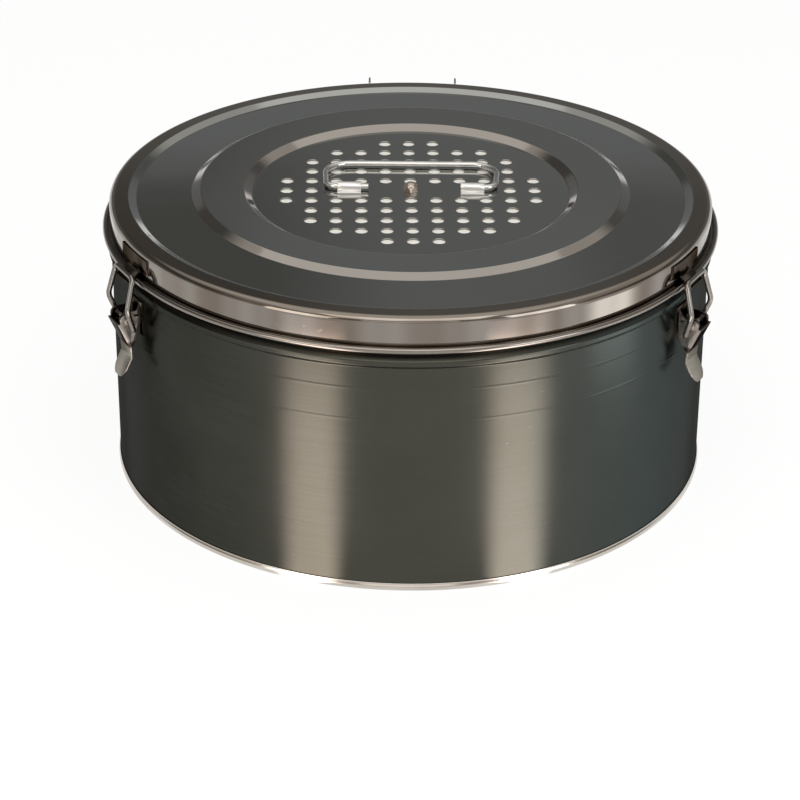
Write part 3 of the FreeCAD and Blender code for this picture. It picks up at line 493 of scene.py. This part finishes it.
# Filter.
# A round cloth under the steam holes lets steam in and keeps dust out. A steel holder with a
# rubber ring at its edge presses it up, and a stud, a washer and two nuts hold the holder.
CLOTH_BORE, CLOTH_RADIUS, CLOTH_UNDER, CLOTH_TOP, CLOTH_EDGE = 2.5, 91.0, 178.4, 179.0, 0.3
THREADS = 9000.0
SEAL_LINE = ((94, 177.0, 0), (97, 177.0, 0.6), (97, 179.0, 0.6), (92, 179.0, 0.6),
             (92, 177.0, 0.6), (93.9, 177.0, 0))
seal = ring("seal", "lid", bend_corners(SEAL_LINE))
dress(seal, rubber, "silicone")
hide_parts("filter_seal")
radii = np.concatenate([np.linspace(CLOTH_BORE, CLOTH_RADIUS - CLOTH_EDGE, 60), [CLOTH_RADIUS]])
cloth_top = np.stack([
    radii, np.where(radii < CLOTH_RADIUS, CLOTH_TOP, CLOTH_TOP - CLOTH_EDGE)], -1)
cloth_under = np.stack([radii[:-1], np.full(len(radii) - 1, CLOTH_UNDER)], -1)
cloth = ring("cloth", "lid", np.vstack([cloth_under, cloth_top[::-1]]), 240)
weave = Finish("weave", (0.80, 0.78, 0.72), Specular_IOR_Level=0.2, Sheen_Weight=0.15)
x, y, _ = weave.axes(weave.place())

# The threads repeat by THREADS, in radians for each metre.
threads = (x * THREADS).math("SINE") * (y * THREADS).math("SINE")
patches = weave.noise(weave.place(), 90.0, 4.0, 0.6)
weave.feed("Base Color", weave.blend(patches, (0.94, 0.93, 0.89), (0.88, 0.87, 0.82)))
weave.feed("Roughness", patches * 0.1 + 0.85)
weave.relief(threads * 0.5 + patches, 0.0001)
dress(cloth, weave, "cloth")
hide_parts("filter_cloth")


def satin_steel(name, dark, light, roughness, scratch=0.1, **constants):
    """Polished sheet or wire: cloudy tone, with fine scratches in its roughness."""
    steel = Finish(name, dark, Metallic=1.0, **constants)
    clouds = steel.noise(steel.place(), 35.0, 3.0, 0.55)
    scratches = steel.noise(steel.place(), 600.0, 3.0, 0.7)
    steel.feed("Base Color", steel.blend(steel.spread(clouds, 0.35, 0.65), dark, light))
    steel.feed("Roughness", (scratches - 0.5) * scratch + (clouds - 0.5) * scratch + roughness)
    return steel


plate_steel = satin_steel("plate_steel", (0.42, 0.41, 0.39), (0.52, 0.51, 0.49), 0.22)
for name in ("filter_holder", "filter_stud", "filter_washer", "filter_nut"):
    dress(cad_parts[name], plate_steel)

# Cap nut.
# A turned and milled steel nut, closed by a low dome, that holds the stud from above.
NUT_HALF, NUT_BORE, NUT_SIDES, NUT_BREAK = 4.5, 2.5, 72, 0.15
NUT_TOP, NUT_CHAMFER = 183.2, ((5.2, 0.6), (4.8, 0.2), (4.5, 0.0))
DOME_TOP, DOME_RADIUS = 185.8, 3.96
angles = full_turn(NUT_SIDES)
hexagon = NUT_HALF / np.cos((angles + math.pi / 6) % (math.pi / 3) - math.pi / 6)
round_row = np.ones(NUT_SIDES)
dome = arc((0, 0), 1, 0, 80, 8)
nut_rows = [(NUT_BORE * round_row, NUT_TOP), (NUT_BORE * round_row, PANEL_TOP),
            (hexagon - NUT_BREAK, PANEL_TOP), (hexagon, PANEL_TOP + NUT_BREAK)]
nut_rows += [(np.minimum(hexagon, radius), NUT_TOP - drop) for radius, drop in NUT_CHAMFER]
nut_rows += [(DOME_RADIUS * flat * round_row, NUT_TOP + (DOME_TOP - NUT_TOP) * height)
             for flat, height in dome]
nut_radius = np.stack([radius for radius, height in nut_rows], 1)
nut_height = np.broadcast_to([height for radius, height in nut_rows], nut_radius.shape)
nut_grid = np.stack([nut_radius * np.cos(angles)[:, None],
                     nut_radius * np.sin(angles)[:, None], nut_height], -1)
cap_nut = capped("cap_nut_form", "lid", nut_grid)
nut_steel = satin_steel("nut_steel", (0.44, 0.38, 0.33), (0.62, 0.57, 0.52), 0.24, 0.05)
dress(cap_nut, nut_steel, "fixing_steel")
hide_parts("cap_nut")

# Handle.
# A bent wire of stainless steel that swings in two lugs, each a strip bent over the wire and
# spot-welded to the lid.
HANDLE_WIRE, HANDLE_HEIGHT = 1.9, 182.6
HANDLE_LINE = ((-26.8, 0, 0), (-53.9, 0, 7.2), (-56.1, 37.7, 16), (56.1, 37.7, 16),
               (53.9, 0, 7.2), (32.1, 0, 0))


def wire(name, body, line, radius, aside, sides=20):
    """A round wire along a line: at each point a circle in the plane across the line, set out
    from the cross product of the line's direction and a fixed direction."""
    ways = np.gradient(line, axis=0)
    ways /= np.linalg.norm(ways, axis=1, keepdims=True)
    tip = 0.3 * radius
    line = np.vstack([line[:1], line[0] + ways[0] * tip, line[1:-1],
                      line[-1] - ways[-1] * tip, line[-1:]])
    ways = np.vstack([ways[:1], ways, ways[-1:]])
    side = np.cross(ways, aside)
    side /= np.linalg.norm(side, axis=1, keepdims=True)
    rise = np.cross(side, ways)
    thick = np.full(len(line), float(radius))
    thick[[0, -1]] = radius - tip
    turn = full_turn(sides)
    grid = line[:, None] + thick[:, None, None] * (
        np.cos(turn)[None, :, None] * side[:, None] + np.sin(turn)[None, :, None] * rise[:, None])
    index = np.arange(len(line) * sides).reshape(len(line), sides)
    faces = grid_faces(len(line), sides, (False, True)).tolist()
    faces += [index[0].tolist(), index[-1, ::-1].tolist()]
    return piece(name, body, grid.reshape(-1, 3), faces)


handle = wire("handle_wire", "handle", bend_corners([
    (x, y, HANDLE_HEIGHT, bend) for x, y, bend in HANDLE_LINE]), HANDLE_WIRE, (0, 0, 1))
wire_steel = satin_steel("wire_steel", (0.56, 0.55, 0.53), (0.68, 0.67, 0.65), 0.20, 0.04)
dress(handle, wire_steel, "wire_steel")
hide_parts("handle")
lug_steel = satin_steel("lug_steel", (0.66, 0.65, 0.63), (0.76, 0.75, 0.73), 0.30, 0.05)


def softened(node, body, finish, slot, width=0.2):
    """A pressed piece with broken edges: the CAD solid's shape with its doubles merged, its flat
    faces joined, and a narrow rounding run along its edges."""
    form = bmesh.new()
    form.from_mesh(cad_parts[node].data)
    bmesh.ops.remove_doubles(form, verts=form.verts, dist=2e-6)
    bmesh.ops.dissolve_limit(form, angle_limit=math.radians(1), verts=form.verts,
                             edges=form.edges)
    mesh = bpy.data.meshes.new(node + "_form")
    form.to_mesh(mesh)
    form.free()
    mesh.polygons.foreach_set("use_smooth", [True] * len(mesh.polygons))
    item = bpy.data.objects.new(node + "_form", mesh)
    bpy.context.scene.collection.objects.link(item)
    edge = item.modifiers.new("edge", "BEVEL")
    edge.width, edge.segments, edge.limit_method = width / 1000, 2, "ANGLE"
    edge.angle_limit, edge.harden_normals = math.radians(32), True
    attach(item, body)
    dress(item, finish, slot)
    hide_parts(node)


for side in ("left", "right"):
    softened("handle_lug_" + side, "lid", lug_steel, "lid_steel", 0.25)

# Latches.
# On each side a folded lever turns on a pin between the ears of a bracket on the drum. It
# carries a wire hoop that hooks over a sloping catch on the lid and draws the lid down.
HOOP_WIRE, LATCH_AZIMUTH = 1.7, math.radians(60.7)
HOOP_LINE = ((197.8, 5.8, 129.9, 0), (197.8, 9.7, 129.9, 2.6), (203.6, 14.7, 146.4, 8),
             (198.2, 12.9, 166.2, 4))
LEVER_WEB_SHADE = (0.035, 0.031, 0.027), (0.055, 0.05, 0.044)
LEVER_CHEEK_LIGHT, LEVER_TOP_LIGHT = (0.27, 0.25, 0.225), (0.26, 0.235, 0.21)
LEVER_TONGUE_LIGHT = (0.36, 0.34, 0.295)
# The hoops' wire is painted darker than the handle's wire of the same steel, as painted shade.
hoop_steel_shaded = satin_steel("hoop_steel_shaded", (0.20, 0.185, 0.165), (0.28, 0.26, 0.235), 0.22, 0.04)
leaf_steel = satin_steel("leaf_steel", (0.27, 0.25, 0.225), (0.36, 0.335, 0.30), 0.38)

# The lever is one steel sheet in painted light and shade. Its web is painted dark as a painted
# reflection, and its cheeks, its top and its tongue are painted lighter, as painted light.
lever_steel = Finish("lever_steel", (0.2, 0.2, 0.2), Metallic=1.0,
                     Specular_Tint=(0.25, 0.25, 0.25, 1))
x, y, z = lever_steel.axes(lever_steel.place())
clouds = lever_steel.noise(lever_steel.place(), 90.0, 3.0, 0.55)
aside = x.math("ABSOLUTE") * math.cos(LATCH_AZIMUTH) + y * math.sin(LATCH_AZIMUTH)
lit_cheeks = (lever_steel.spread(aside.math("ABSOLUTE"), 0.0070, 0.0075)
          * lever_steel.spread(z, 0.121, 0.123))
metal = lever_steel.blend(clouds, *LEVER_WEB_SHADE)
metal = lever_steel.blend(lit_cheeks, metal, LEVER_CHEEK_LIGHT)
metal = lever_steel.blend(lever_steel.spread(z, 0.132, 0.136), metal, LEVER_TOP_LIGHT)
metal = lever_steel.blend(lever_steel.fade(z, 0.117, 0.119), metal, LEVER_TONGUE_LIGHT)
lever_steel.feed("Base Color", metal)
lever_steel.feed("Roughness", clouds * 0.1 + 0.28)
# The catches and the brackets are painted a near-black brown: a painted dark reflection on their
# steel.
catch_steel_painted_dark = satin_steel("catch_steel_painted_dark", (0.085, 0.070, 0.058), (0.13, 0.115, 0.10), 0.18, 0.05,
                          Specular_Tint=(0.3, 0.3, 0.3, 1))
for side, sign in (("left", -1), ("right", 1)):
    out = np.array([sign * math.sin(LATCH_AZIMUTH), -math.cos(LATCH_AZIMUTH), 0])
    along = np.array([-out[1], out[0], 0])
    mirrored = [(radius, -aside, height, bend) for radius, aside, height, bend in HOOP_LINE[::-1]]
    corners = [(*(out * radius + along * aside + (0, 0, height)), bend)
               for radius, aside, height, bend in (*HOOP_LINE, *mirrored)]
    hoop = wire("hoop_" + side, "hoop_" + side, bend_corners(corners), HOOP_WIRE, out)
    dress(hoop, hoop_steel_shaded, "wire_steel")
    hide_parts("latch_hoop_" + side)
    softened("latch_lever_" + side, "lever_" + side, lever_steel, "latch_steel")
    softened("latch_bracket_" + side, "drum", catch_steel_painted_dark, "latch_steel")
    softened("lid_catch_" + side, "lid", catch_steel_painted_dark, "latch_steel")
    dress(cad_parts["latch_pin_" + side], plate_steel)

# Hinge.
# Two leaves of bent sheet, one on the drum with a rolled barrel and one on the lid with two
# ears, turn on a headed pin at the back.
softened("hinge_leaf_drum", "drum", leaf_steel, "latch_steel")
softened("hinge_leaf_lid", "lid", leaf_steel, "latch_steel")
dress(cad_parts["hinge_pin"], plate_steel)

# Studio.
# A pale floor, soft lamps above and in front, low strips on the floor, and a soft sky that is
# light at the horizon and darker over it, behind the object.
FLOOR_HALF, FLOOR_GLOW, GLOW_SHARE = 40, 1.04, 0.86
floor_mesh = bpy.data.meshes.new("floor")
floor_mesh.from_pydata([(x * FLOOR_HALF, y * FLOOR_HALF, 0) for x, y in (
    (-1, -1), (1, -1), (1, 1), (-1, 1))], [], [(0, 1, 2, 3)])
floor = bpy.data.objects.new("floor", floor_mesh)
bpy.context.scene.collection.objects.link(floor)
paper = Finish("paper", (0.93, 0.93, 0.93), Roughness=0.9, Specular_IOR_Level=0.0)
path = paper.node("ShaderNodeLightPath").socket.node.outputs
seen = (Value(paper, path["Is Camera Ray"]) + Value(paper, path["Is Glossy Ray"])
        + Value(paper, path["Is Transmission Ray"]))
glow = paper.node("ShaderNodeEmission", values={"Color": (1, 1, 1, 1), "Strength": FLOOR_GLOW})
paper.mix(seen * GLOW_SHARE, glow)
floor_mesh.materials.append(paper.material)


def lamp(name, place, target, size, power, colour=(1, 1, 1), aside=(0, 0, 1)):
    """A flat soft lamp at a place, facing a target, unseen by the camera. Its width lies across
    the given direction."""
    light = bpy.data.lights.new(name, "AREA")
    light.shape = "RECTANGLE"
    light.size, light.size_y, light.energy, light.color = *size, power, colour
    item = bpy.data.objects.new(name, light)
    bpy.context.scene.collection.objects.link(item)
    place, target = np.array(place, float), np.array(target, float)
    back = (place - target) / np.linalg.norm(place - target)
    side = np.cross(aside, back)
    side /= np.linalg.norm(side)
    pose = np.eye(4)
    pose[:3, 0], pose[:3, 1], pose[:3, 2], pose[:3, 3] = side, np.cross(back, side), back, place
    item.matrix_world = Matrix(pose.tolist())
    item.visible_camera = False
    return light


MIDDLE = (0, 0, 0.1)
lamp("top_lamp", (0, -0.1, 1.8), (0, -0.1, 0), (2.2, 2.2), 6, aside=(0, 1, 0))
lamp("high_lamp", (0, -1.2, 1.6), MIDDLE, (1.6, 1.2), 9)
lamp("left_lamp", (-1.0, -1.28, 0.55), MIDDLE, (0.7, 0.85), 5, (1.0, 0.95, 0.88))
lamp("right_lamp", (1.15, -1.12, 0.55), MIDDLE, (0.7, 0.85), 6, (0.96, 0.98, 1.0))
lamp("front_lamp", (0.02, -2.3, 0.85), MIDDLE, (1.4, 0.5), 2)

# Low strips lie on the floor in front, and the wall shows them as upright bands of light. Each
# starts at the wall, widens away from it and fades toward its sides and its far end. The last
# one brightens the lid's skirt. STRIPS has for each its foot's angle round the drum in degrees,
# where it starts and ends away from the wall, its width, its power, the share that is left past
# STRIP_TAIL, and its colour. It points away from the axis at STRIP_TURN times its foot's angle.
STRIPS = (("low_left", -17.3, 0.0, 0.42, 0.2, 1.4, 0.06, (1.0, 0.84, 0.79)),
          ("low_right", 19.8, 0.0, 0.42, 0.2, 1.4, 0.10, (1.0, 0.87, 0.83)),
          ("low_side", 38.3, 0.28, 0.46, 0.26, 0.30, 1.0, (0.92, 0.97, 1.0)))
STRIP_TURN, STRIP_TAIL, STRIP_END, STRIP_HEIGHT = 2.14, (0.30, 0.342), 0.06, 0.0005
HALF_WIDTH, WIDENING, SIDE_FADE = 0.018, 0.225, (0.4, 1.25)
for name, turn, near, far, width, power, tail, colour in STRIPS:
    turn = math.radians(turn)
    foot = WALL_RADIUS / 1000 * np.array([math.sin(turn), -math.cos(turn), 0])
    way = np.array([math.sin(STRIP_TURN * turn), -math.cos(STRIP_TURN * turn), 0])
    place = foot + way * (near + far) / 2 + (0, 0, STRIP_HEIGHT)
    strip = lamp(name, place, place + (0, 0, 1), (width, far - near), power, colour, way)
    strip.use_nodes = True
    glow = Nodes(strip.node_tree)
    x, y, _ = glow.axes(glow.node("ShaderNodeNewGeometry"))
    out = (x - foot[0]) * way[0] + (y - foot[1]) * way[1]
    aside = ((x - foot[0]) * way[1] - (y - foot[1]) * way[0]).math("ABSOLUTE")
    share = glow.fade(aside / (out * WIDENING + HALF_WIDTH), *SIDE_FADE)
    share = share * glow.fade(out, *STRIP_TAIL, tail) * glow.fade(out, far - STRIP_END, far)
    glow.tree.links.new(share.socket, glow.tree.nodes["Emission"].inputs["Strength"])

world = bpy.data.worlds.new("sky")
world.use_nodes = True
bpy.context.scene.world = world
sky = Nodes(world.node_tree)
across, behind, above = sky.axes(sky.node("ShaderNodeTexCoord", output=0))

# Each tone of the sky is laid over the last one by the share beside it.
side = sky.spread(across, -0.085, 0.0) * sky.fade(across, 0.075, 0.115, 0.45)
tone = sky.blend(side, (0.115, 0.113, 0.107), (0.205, 0.208, 0.205))
for share, colour in ((sky.fade(above, 0.33, 0.40), (0.22, 0.225, 0.225)),
                      (sky.fade(behind, -0.5, 0.1), (0.42, 0.37, 0.32)),
                      (sky.spread(above + across * 0.12, 0.52, 0.66), (0.62, 0.60, 0.57)),
                      (sky.fade(above, 0.05, 0.12), (0.95, 0.95, 0.95))):
    tone = sky.blend(share, tone, colour)
world.node_tree.links.new(tone.socket, world.node_tree.nodes["Background"].inputs["Color"])

# Camera.
# It looks down at the drum from in front, at the photograph's angle and distance.
camera = bpy.data.cameras.new("camera")
camera.lens, camera.sensor_width = 115.379, 36
camera.shift_x, camera.shift_y = -0.01625, -0.075
eye = bpy.data.objects.new("camera", camera)
bpy.context.scene.collection.objects.link(eye)
eye.rotation_mode = "ZYX"
eye.rotation_euler = (math.radians(63.5937), 0, math.radians(0.5593))
eye.location = (0.002291, -1.50601, 0.82132)
bpy.context.scene.camera = eye
bpy.context.scene.view_settings.view_transform = "Standard"
